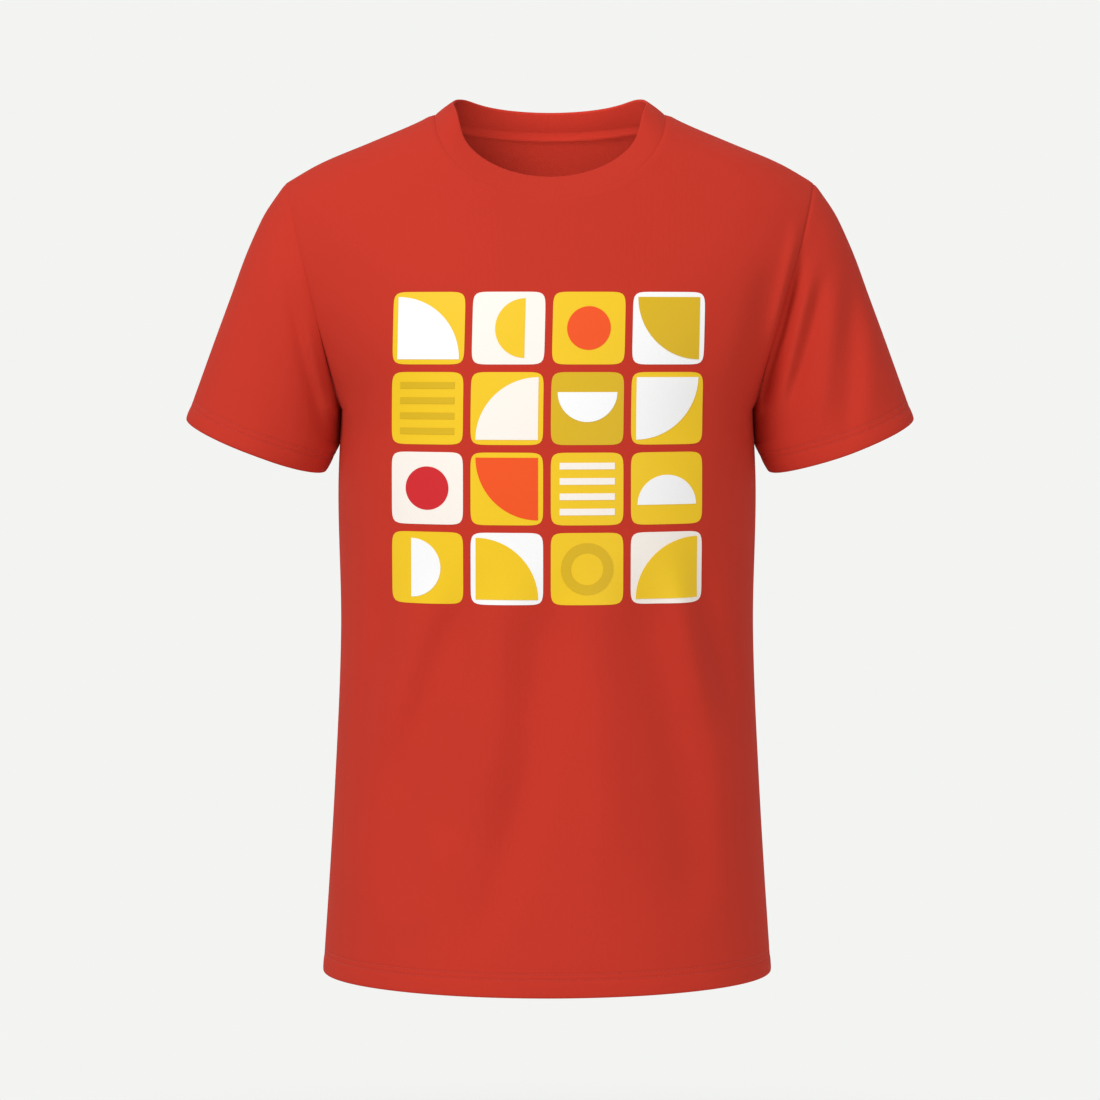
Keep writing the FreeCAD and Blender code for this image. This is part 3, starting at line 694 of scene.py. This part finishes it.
def strip(name, form, relief, turns, ways, thickness, run, across, lift=0.0):
    """A strip under the main layer, with rounded edges and slanting threads. run and across are the places on
    the flat strip, in metres, and lift is how far its far edge stands off."""
    from_edge, to_edge = across - across.min(), across.max() - across
    top = FABRIC + LAYER_GAP + lift * ease(from_edge / (from_edge + to_edge))
    edge = np.clip(np.minimum(from_edge, to_edge) / STRIP_EDGE, 0, 1)
    threads = 0.5 + 0.5 * np.cos((run + across * 0.9) * (2 * math.pi / THREAD_PITCH))
    under = thickness * (0.45 + 0.4 * np.sqrt(edge) + 0.15 * threads)
    layers = (laid(form, relief, turns, ways, depth) for depth in (top, top + under))
    return add_piece(name, [(*layers, together(across, run))])

# %% The tape and the seams
tape_x = np.linspace(1, -1, 120)[None, :] * (NECK_HALF_WIDTH - TAPE_INSET)
tape_across = np.linspace(TAPE_TOP, TAPE_WIDTH, 9)[:, None]
tape_drop = back_neck_drop(tape_x, tape_across)
tape = strip("neck_tape_band", body, body_relief, math.pi - turn_at(tape_x, tape_drop), tape_drop,
             TAPE_THICKNESS, tape_x, tape_across, TAPE_LIFT)


def edge_seam(name, side, top, bottom):
    """The overlocked edge of a shoulder or side seam: from the seam to a seam's width behind it."""
    drops = np.linspace(top, bottom, int((bottom - top) / SEAM_PITCH))[:, None]
    across = np.linspace(0, SEAM_WIDTH, 7)[None, :]
    turn = math.pi / 2 + np.arcsin(across / half_depth(drops))
    if side < 0:
        turn, across = -turn[:, ::-1], across[:, ::-1]
    return strip(name, body, body_relief, turn, drops, SEAM_THICKNESS, drops, across)


def armhole_seam(name, form):
    """The overlocked edge round the armhole, folded into the sleeve."""
    turns = np.linspace(-math.pi, math.pi, 360)[None, :]
    across = np.linspace(ARMHOLE_SEAM_GAP, SEAM_WIDTH, 7)[:, None]
    step = 0.02
    speed = np.linalg.norm(form(turns, step) - form(turns, 0.0), axis=-1) / step
    return strip(name, form, sleeve_relief, turns, across / speed, SEAM_THICKNESS, turns * ARMHOLE_RADIUS,
                 across)


SEAM_ENDS = {"side": (UNDERARM_DROP + SEAM_WIDTH, BODY_LENGTH - HEM_HEIGHT - SEAM_END_GAP),
             "shoulder": (RIDGE_AT_NECK + TAPE_WIDTH, SHOULDER_DROP - SEAM_END_GAP)}
seams = {f"{side}_{place}_seam": edge_seam(f"overlock_{side}_{place}", sign, *ends)
         for place, ends in SEAM_ENDS.items() for side, sign in (("left", 1), ("right", -1))}
for side, form in (("left", left_sleeve), ("right", right_sleeve)):
    seams[f"{side}_armhole_seam"] = armhole_seam(f"overlock_{side}_armhole", form)

# %% [markdown]
# ## Stitches
#
# The hems are sewn with a twin needle: two rows of stitches, each a short piece of thread that rises from
# the cloth and goes back into it. All the stitches of a row are worked out at once, as a stack of little
# tubes.

# %% Rows of stitches
THREAD_RADIUS, STITCH_SINK = 0.24 * MM, 0.35 * MM
STITCH_FILL = 0.8


def stitch_row(form, relief, turn, way):
    """A stack of tubes along a line on the cloth, given densely as turns and ways. Along each one the thread
    sinks at both ends and thins to a point."""
    line = laid(form, relief, turn, way)
    run = distances(line)
    count = int(run[-1] / STITCH_PITCH)
    middles = (np.arange(count) + 0.5) * run[-1] / count
    along = np.linspace(-1, 1, 7)
    at = middles[:, None] + along[None, :] * STITCH_PITCH * STITCH_FILL / 2
    turns, ways = np.interp(at, run, turn), np.interp(at, run, way)
    centre = laid(form, relief, turns, ways, -THREAD_RADIUS * 0.55 + STITCH_SINK * along ** 4)
    ahead = unit(np.gradient(centre, axis=1))
    up = outwards(lambda a, b: crumple(form(a, b)), turns, ways)
    beside = np.cross(ahead, up)
    ring = np.linspace(0, 2 * math.pi, 7)
    radius = THREAD_RADIUS * np.sqrt(np.maximum(1 - along ** 6, 0))
    offset = up[:, :, None] * np.cos(ring)[:, None] + beside[:, :, None] * np.sin(ring)[:, None]
    tubes = centre[:, :, None] + offset * radius[:, None, None]
    return tubes[:, ::-1], None, together(at[:, :, None], ring * THREAD_RADIUS)[:, ::-1]


round_body = np.linspace(-math.pi, math.pi, 2400)
body_stitches = add_piece("stitches_body_hem", [
    stitch_row(body, body_relief, round_body, 0 * round_body + BODY_LENGTH - row) for row in BODY_ROWS])


def sleeve_stitches(name, form):
    relief = lambda turn, points: sleeve_relief(turn, points) + ROW_DIP
    ways = (0 * round_body + SLEEVE_END - row * WAY_PER_METRE for row in SLEEVE_ROWS)
    return add_piece(name, [stitch_row(form, relief, round_body, way) for way in ways])


left_stitches = sleeve_stitches("stitches_left_sleeve", left_sleeve)
right_stitches = sleeve_stitches("stitches_right_sleeve", right_sleeve)

# %% [markdown]
# ## The print
#
# The chest carries a screen print, here a plain block of geometric tiles. Screen-printed ink is a thin
# elastic film that follows every fold, so each shape is a grid of points on the front's surface, raised by
# the film's thickness.

# %% A film of ink
INK, INK_OVERLAP = 0.28 * MM, 0.05 * MM
TILE, TILE_GAP, BAR_HALF_HEIGHT, BAR_PITCH = 57 * MM, 6 * MM, 2.6 * MM, 12 * MM
PRINT_DROP, STEPS_PER_RADIAN = 279 * MM, 15


def film(x, drop, height):
    """A patch of ink over places on the front: its top is at a height, its underside a film's thickness lower
    but for a small overlap."""
    top, under = (laid(body, body_relief, turn_at(x, drop), drop, -level)
                  for level in (height, height - INK + INK_OVERLAP))
    return top, under, together(x, drop)


def fan(centre, start, sweep, radius, height, inner=0):
    """A patch of ink from a centre out to a radius that may depend on the angle, over a sweep in degrees."""
    sweep = math.radians(sweep)
    angle = math.radians(start) + np.linspace(0, sweep, int(sweep * STEPS_PER_RADIAN) + 1)[None, :]
    reach = radius(angle) * np.linspace(inner, 1, 12)[:, None]
    return film(centre[0] + reach * np.cos(angle), centre[1] - reach * np.sin(angle), height)


def square_edge(size, roundness=9):
    """The reach from a square's middle to its edge with rounded corners: a superellipse."""
    def reach(angle):
        powers = np.abs(np.cos(angle)) ** roundness + np.abs(np.sin(angle)) ** roundness
        return size / powers ** (1 / roundness)
    return reach

# %% Tiles
# Each round shape: how far its centre is right of and above the tile's middle, its sweep in degrees, its
# radius, and the share of that which is open. Lengths are in half tiles.
SHAPES = {"quarter": (-0.86, -0.86, 90, 1.72, 0), "half": (0, -0.45, 180, 0.82, 0),
          "disc": (0, 0, 360, 0.6, 0), "ring": (0, 0, 360, 0.72, 0.62)}
# Each tile: its ground, its shape, the shape's ink and how many quarter turns it has.
TILES = [
    ["yellow quarter white 0", "cream half yellow 1", "yellow disc orange 0", "white quarter gold 2"],
    ["yellow bars gold 0", "yellow quarter cream 1", "gold half white 2", "yellow quarter white 3"],
    ["cream disc red 0", "yellow quarter orange 2", "yellow bars cream 0", "yellow half white 0"],
    ["yellow half white 3", "white quarter yellow 0", "yellow ring gold 0", "cream quarter yellow 1"],
]


def tile_shapes(shape, quarters, centre):
    """The patches of one tile's shape, on top of its ground: one round shape, or four bars."""
    half, height = TILE / 2, 2 * INK
    if shape == "bars":
        x = np.linspace(-0.76, 0.76, 24)[None, :] * half
        across = np.linspace(-BAR_HALF_HEIGHT, BAR_HALF_HEIGHT, 5)[:, None]
        return [film(centre[0] + x, centre[1] + step * BAR_PITCH + across, height)
                for step in (-1.5, -0.5, 0.5, 1.5)]
    x, z, sweep, radius, open_share = SHAPES[shape]
    cosine, sine = (half * wave(quarters * math.pi / 2) for wave in (math.cos, math.sin))
    middle = (centre[0] + x * cosine - z * sine, centre[1] - x * sine - z * cosine)
    return [fan(middle, 90 * quarters, sweep, lambda angle: radius * half, height, open_share)]


inks = {"yellow": [], "gold": [], "cream": [], "white": [], "orange": [], "red": []}
for row, line in enumerate(TILES):
    for column, words in enumerate(line):
        ground, shape, ink, quarters = words.split()
        pitch = TILE + TILE_GAP
        centre = ((column - 1.5) * pitch, PRINT_DROP + (row - 1.5) * pitch)
        inks[ground].append(fan(centre, 0, 360, square_edge(TILE / 2), INK))
        inks[ink] += tile_shapes(shape, int(quarters), centre)
prints = {ink: add_piece(f"print_{ink}", patches) for ink, patches in inks.items()}

# %% [markdown]
# ## Finishes
#
# A shader is a small sum. Writing it as one, with + and *, is easier to read than a list of nodes and links,
# so a class wraps a socket and lets Python's operators add the Math nodes.

# %% Shader sums


class Amount:
    """A number that a material works out at each point."""

    def __init__(self, finish, socket):
        self.finish, self.socket = finish, socket

    def maths(self, operation, *others):
        made = self.finish.node("ShaderNodeMath", {"operation": operation}, self, *others)
        return Amount(self.finish, made.outputs[0])

    def __add__(self, other):
        return self.maths("ADD", other)

    def __mul__(self, other):
        return self.maths("MULTIPLY", other)

    def __sub__(self, other):
        return self.maths("SUBTRACT", other)


class Finish:
    """A material, its Principled shader, and one way to add any other node."""

    def __init__(self, name, **constants):
        self.material = bpy.data.materials.new(name)
        self.material.use_nodes = True
        self.tree = self.material.node_tree
        self.shader = self.tree.nodes["Principled BSDF"]
        for socket, value in constants.items():
            self.shader.inputs[socket.replace("_", " ").title().replace("Ior", "IOR")].default_value = value

    def node(self, kind, settings, *values, **named):
        """A node of a kind, its settings, then the values or links of its sockets in order or by name."""
        made = self.tree.nodes.new(kind)
        for name, value in settings.items():
            setattr(made, name, value)
        for socket, value in [*zip(made.inputs, values), *((made.inputs[n], v) for n, v in named.items())]:
            if isinstance(value, Amount):
                value = value.socket
            if isinstance(value, bpy.types.NodeSocket):
                self.tree.links.new(value, socket)
            else:
                socket.default_value = value
        return made

    def place(self):
        """Across and along the flat cloth, in metres."""
        uv = self.node("ShaderNodeUVMap", {"uv_map": "cloth"})
        both = self.node("ShaderNodeSeparateXYZ", {}, uv.outputs[0])
        return Amount(self, both.outputs[0]), Amount(self, both.outputs[1])

    def noise(self, scale, detail=2.0):
        """Soft noise in the object's own space, so many bumps to a metre."""
        where = self.node("ShaderNodeTexCoord", {})
        made = self.node("ShaderNodeTexNoise", {}, where.outputs["Object"], Scale=scale, Detail=detail)
        return Amount(self, made.outputs[0])

    def between(self, dark, light, share):
        """The colour at a share of the way from one colour to another."""
        made = self.node("ShaderNodeMix", {"data_type": "RGBA"})
        self.tree.links.new(share.socket, made.inputs["Factor"])
        made.inputs[6].default_value, made.inputs[7].default_value = (*dark, 1), (*light, 1)
        return made.outputs[2]

    def drive(self, name, socket):
        self.tree.links.new(socket, self.shader.inputs[name])

    def bump(self, height, distance):
        made = self.node("ShaderNodeBump", {}, Strength=1.0, Distance=distance, Height=height)
        self.drive("Normal", made.outputs[0])


def linear(red, green, blue):
    """A screen colour, 0 to 255, as the linear light that a shader works in."""
    screen = np.array([red, green, blue]) / 255
    return tuple(np.where(screen <= 0.04045, screen / 12.92, ((screen + 0.055) / 1.055) ** 2.4))

# %% [markdown]
# ## Jersey, rib, tape and thread
#
# Jersey is one yarn in rows of loops. From the face the loops stand in fine upright columns, each a chain of
# V shapes less than a millimetre wide. The dye takes a little unevenly, and loose fibres give a soft bloom
# at grazing angles, which the sheen stands for. The colour is also painted a little darker in the knit's
# hollows and lighter on its loops, as painted shade.

# %% Finishes of the cloth
RED = (199, 54, 38)


def shade(colour, factor):
    return tuple(channel * factor for channel in linear(*colour))


def knit(finish, wale, course):
    """The height of a knit: rounded columns a wale wide, crossed by V-shaped loops a course high."""
    across, along = finish.place()
    column = (across * (2 * math.pi / wale)).maths("COSINE")
    slant = (across * (1 / wale)).maths("FRACT") - 0.5
    loops = ((along * (1 / course) + slant.maths("ABSOLUTE") * 1.4) * (2 * math.pi)).maths("SINE")
    return column * 0.35 + loops * 0.25 + 0.5


def cloth_finish(name, wale, course, depth):
    finish = Finish(name, roughness=0.88, sheen_weight=0.03, sheen_roughness=0.4, specular_ior_level=0.16)
    finish.shader.inputs["Sheen Tint"].default_value = (*linear(235, 150, 135), 1)
    height = knit(finish, wale, course)
    dye, fibre = finish.noise(9), finish.noise(900, 3)
    # Uneven dye and fibres, plus painted shade: the knit's hollows are painted darker and its loops lighter.
    share = (dye - 0.5) * 0.6 + (fibre - 0.5) * 0.5 + (height - 0.5) * 0.25 + 0.5
    finish.drive("Base Color", finish.between(shade(RED, 0.9), shade(RED, 1.08), share))
    finish.bump(height + (fibre - 0.5) * 0.8, depth)
    return finish


JERSEY = 0.95 * MM, 0.75 * MM
TWIST_PITCH, THREAD_BUMP, INK_BUMP = 0.5 * MM, 0.05 * MM, 0.05 * MM
jersey = cloth_finish("red jersey", *JERSEY, 0.09 * MM)
rib_knit = cloth_finish("red rib knit", 1.1 * MM, 0.8 * MM, 0.09 * MM)
twill = cloth_finish("red tape", 1.6 * MM, 1.1 * MM, 0.12 * MM)
thread = Finish("red thread", roughness=0.6, sheen_weight=0.1)
twist_across, twist_along = thread.place()
twist = ((twist_across + twist_along * 0.7) * (2 * math.pi / TWIST_PITCH)).maths("SINE") * 0.5 + 0.5
# Painted shade: the twist's grooves are painted darker and its crowns lighter, on a darker red than the
# cloth; the twist also drives the bump.
thread.drive("Base Color", thread.between(shade(RED, 0.76), shade(RED, 0.98), twist))
thread.bump(twist, THREAD_BUMP)

# %% [markdown]
# ## Ink
#
# Plastic ink dries to a smooth film with a low gloss. It bridges the loops but still shows a little of the
# knit, in its bumps and as painted shade in the knit's hollows, and its colour and gloss are slightly uneven.

# %% Finishes of the print
INK_COLOURS = {"yellow": (247, 203, 20), "gold": (222, 181, 10), "cream": (255, 247, 238),
               "white": (255, 255, 255), "orange": (244, 82, 12), "red": (210, 28, 36)}


def ink_finish(name, colour):
    finish = Finish(name, roughness=0.5, specular_ior_level=0.35)
    height, mottle = knit(finish, *JERSEY), finish.noise(700, 2)
    # Random mottle, plus painted shade: the knit's hollows under the film are painted a little darker.
    share = (mottle - 0.5) * 0.7 + (height - 0.5) * 0.2 + 0.5
    finish.drive("Base Color", finish.between(shade(colour, 0.93), shade(colour, 1.0), share))
    finish.drive("Roughness", ((mottle - 0.5) * 0.25 + 0.52).socket)
    finish.bump(height * 0.6 + mottle * 0.6, INK_BUMP)
    return finish


for ink, piece in prints.items():
    piece.data.materials.append(ink_finish(f"{ink} ink", INK_COLOURS[ink]).material)

# %% Every piece rides, replaces and has its finish
dressed_pieces = [
    (cloth_front, jersey, "jersey", ["front_panel", "body_hem"]),
    (cloth_back, jersey, "jersey", ["back_panel", "body_hem"]),
    (cloth_left, jersey, "jersey", ["left_sleeve", "left_sleeve_hem"]),
    (cloth_right, jersey, "jersey", ["right_sleeve", "right_sleeve_hem"]),
    (collar, rib_knit, "ribbed_knit", ["neck_rib"]),
    (tape, twill, "tape", ["neck_tape"]),
    (body_stitches, thread, "jersey", []),
    (left_stitches, thread, "jersey", []),
    (right_stitches, thread, "jersey", []),
]
dressed_pieces += [(piece, thread, "overlocked_edge", [node]) for node, piece in seams.items()]
for piece, finish, slot, nodes in dressed_pieces:
    piece.data.materials.append(finish.material)
    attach(piece, "root")
    if nodes:
        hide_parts(*nodes)
for piece in prints.values():
    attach(piece, "root")

# %% [markdown]
# ## What was cut
#
# The panels and sleeves are sheets of jersey. Their places on the flat cloth are those of the pieces before
# sewing, with hem allowances, and the area each one prints is what is left of its cloth once necklines and
# armholes are cut away.

# %% [markdown]
# ## The studio
#
# The shirt floats in front of a plain pale ground, lit by a large soft lamp from the upper left and a weaker
# one from the right. A small one hidden inside the body lights the back neck's inner side, where the large
# ones don't reach. The ground is the world's colour as the camera, mirrors and glass see it, and white at a
# lower level fills the shadows.

# %% Ground and fill
BACKGROUND = linear(243, 244, 242)
world = bpy.data.worlds.new("studio")
bpy.context.scene.world = world
world.use_nodes = True
nodes, links = world.node_tree.nodes, world.node_tree.links
nodes.clear()
path, sees, glass, seen, fill, both, out = (nodes.new(f"ShaderNode{kind}") for kind in (
    "LightPath", "Math", "Math", "Background", "Background", "MixShader", "OutputWorld"))
sees.operation = glass.operation = "MAXIMUM"
seen.inputs[0].default_value = (*BACKGROUND, 1)
fill.inputs[0].default_value, fill.inputs[1].default_value = (1, 1, 1, 1), 0.5
for number, ray in enumerate(("Camera", "Glossy")):
    links.new(path.outputs[f"Is {ray} Ray"], sees.inputs[number])
links.new(path.outputs["Is Transmission Ray"], glass.inputs[1])
for start, end, number in ((sees, glass, 0), (glass, both, 0), (fill, both, 1), (seen, both, 2),
                           (both, out, 0)):
    links.new(start.outputs[0], end.inputs[number])

# %% Floor, well below the hem, fading into the ground
FLOOR_DROP, FLOOR_RADIUS, FADE_FROM, FADE_TO = 1.12, 1.7, 0.75, 1.6
ring = np.linspace(0, 2 * math.pi, 97)[None, :]
reach = np.linspace(0, 1, 9)[:, None] * FLOOR_RADIUS
floor_points = together(reach * np.cos(ring), reach * np.sin(ring), -FLOOR_DROP)
floor = add_piece("studio_floor", [(floor_points[None], None, np.zeros(2))])
floor_finish = Finish("pale floor", roughness=0.9, specular_ior_level=0.1)
floor_finish.shader.inputs["Base Color"].default_value = (*BACKGROUND, 1)
where = floor_finish.node("ShaderNodeTexCoord", {})
flat_place = floor_finish.node("ShaderNodeVectorMath", {"operation": "MULTIPLY"}, where.outputs["Object"],
                               (1, 1, 0))
far = floor_finish.node("ShaderNodeVectorMath", {"operation": "LENGTH"}, flat_place.outputs[0])
fading = floor_finish.node("ShaderNodeMapRange", {"interpolation_type": "SMOOTHSTEP"}, far.outputs[1],
                           FADE_FROM, FADE_TO, 1.0, 0.0)
floor_finish.drive("Alpha", fading.outputs[0])
floor.data.materials.append(floor_finish.material)

# %% Lamps


def lamp(name, place, aim, size, power):
    data = bpy.data.lights.new(name, "AREA")
    data.shape, data.size, data.energy = "DISK", size, power
    light = bpy.data.objects.new(name, data)
    bpy.context.scene.collection.objects.link(light)
    back = np.array(place) - np.array(aim)
    light.location = place
    light.rotation_euler = (math.acos(back[2] / np.linalg.norm(back)), 0, math.atan2(back[0], -back[1]))
    return light


lamp("key", (-2.0, -2.7, 2.5), (0, 0, -0.3), 1.8, 99)
lamp("front fill", (1.6, -3.0, -0.2), (0, 0, -0.4), 2.0, 20)
inside = lamp("inside the body", (-0.04, -0.05, -0.09), (0.052, 0.05, 0.006), 0.06, 0.06)
inside.visible_camera = False
inside.data.spread = math.radians(108)

# %% Camera
CAMERA_DISTANCE, CAMERA_DROP, AIM_DROP, FRAME_WIDTH, SENSOR_WIDTH = 3.0, 0.2, 0.3655, 0.902, 36
camera_data = bpy.data.cameras.new("camera")
camera = bpy.data.objects.new("camera", camera_data)
bpy.context.scene.collection.objects.link(camera)
camera.location = (0, -CAMERA_DISTANCE, -CAMERA_DROP)
tilt = math.atan2(AIM_DROP - CAMERA_DROP, CAMERA_DISTANCE)
camera.rotation_euler = (math.pi / 2 - tilt, 0, 0)
camera_data.sensor_width = SENSOR_WIDTH
camera_data.lens = SENSOR_WIDTH * math.hypot(CAMERA_DISTANCE, AIM_DROP - CAMERA_DROP) / FRAME_WIDTH
bpy.context.scene.camera = camera
bpy.context.scene.view_settings.view_transform = "Standard"
